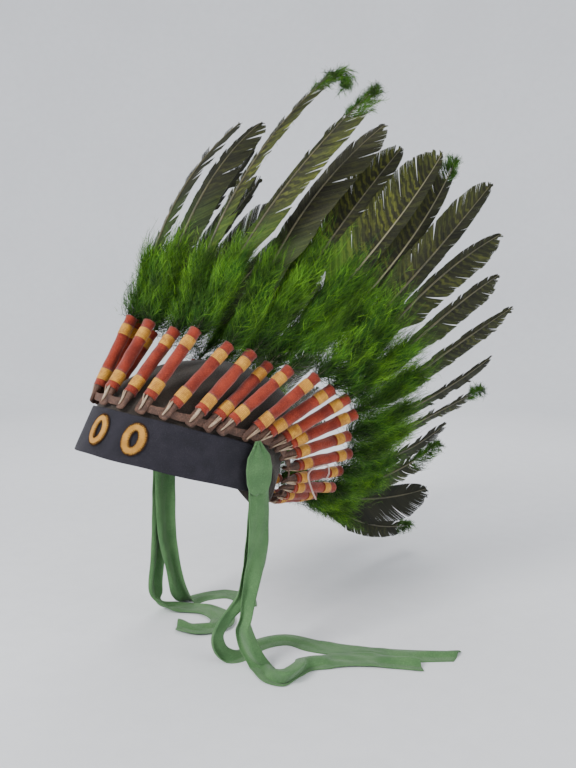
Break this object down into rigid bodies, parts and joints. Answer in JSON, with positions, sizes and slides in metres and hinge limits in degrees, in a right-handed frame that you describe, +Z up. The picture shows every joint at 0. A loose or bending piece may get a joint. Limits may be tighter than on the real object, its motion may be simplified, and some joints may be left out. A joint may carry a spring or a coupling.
{
  "type": "feathered headdress",
  "caption": "Feathered headdress: a felt brow band and skull cap with a fan of wrapped feathers, two felt rings on the brow and long cloth ties.",
  "frame": {"origin": "centre of the brow band's ring, at half the band's height, where the head sits", "axes": "+Z up on an upright head, -Y the way the wearer faces, +X the wearer's left; the band leans 18 degrees back"},
  "size_m": [0.4246, 0.5295, 0.5819],
  "materials": {
    "cap_felt": "matt brown-grey wool felt",
    "navy_felt": "matt dark blue wool felt",
    "golden_felt": "matt golden felt",
    "red_felt": "red felt bound with golden thread",
    "dyed_feather": "dyed green down and dark barred vane, faint sheen",
    "green_cotton": "creased green cotton",
    "pale_string": "twisted pale string"
  },
  "bodies": {
    "root": {"felt_cap": "cap_felt", "brow_band": "navy_felt", "band_ornament_right": "golden_felt", "band_ornament_left": "golden_felt", "wrapped_quills_01": "red_felt", "wrapped_quills_02": "red_felt", "wrapped_quills_03": "red_felt", "wrapped_quills_04": "red_felt", "wrapped_quills_05": "red_felt", "wrapped_quills_06": "red_felt", "wrapped_quills_07": "red_felt", "wrapped_quills_08": "red_felt", "feather_01": "dyed_feather", "feather_02": "dyed_feather", "feather_03": "dyed_feather", "feather_04": "dyed_feather", "feather_05": "dyed_feather", "feather_06": "dyed_feather", "feather_07": "dyed_feather", "feather_08": "dyed_feather", "feather_09": "dyed_feather", "feather_10": "dyed_feather", "feather_11": "dyed_feather", "feather_12": "dyed_feather", "feather_13": "dyed_feather", "feather_14": "dyed_feather", "feather_15": "dyed_feather", "feather_16": "dyed_feather", "feather_17": "dyed_feather", "feather_18": "dyed_feather", "feather_19": "dyed_feather", "feather_20": "dyed_feather", "feather_21": "dyed_feather", "feather_22": "dyed_feather", "feather_23": "dyed_feather", "feather_24": "dyed_feather", "feather_25": "dyed_feather", "feather_26": "dyed_feather", "feather_27": "dyed_feather", "feather_28": "dyed_feather", "feather_29": "dyed_feather", "feather_30": "dyed_feather", "feather_31": "dyed_feather", "tie_left": "green_cotton", "tie_right": "green_cotton", "string_end": "pale_string"}
  },
  "joints": []
}
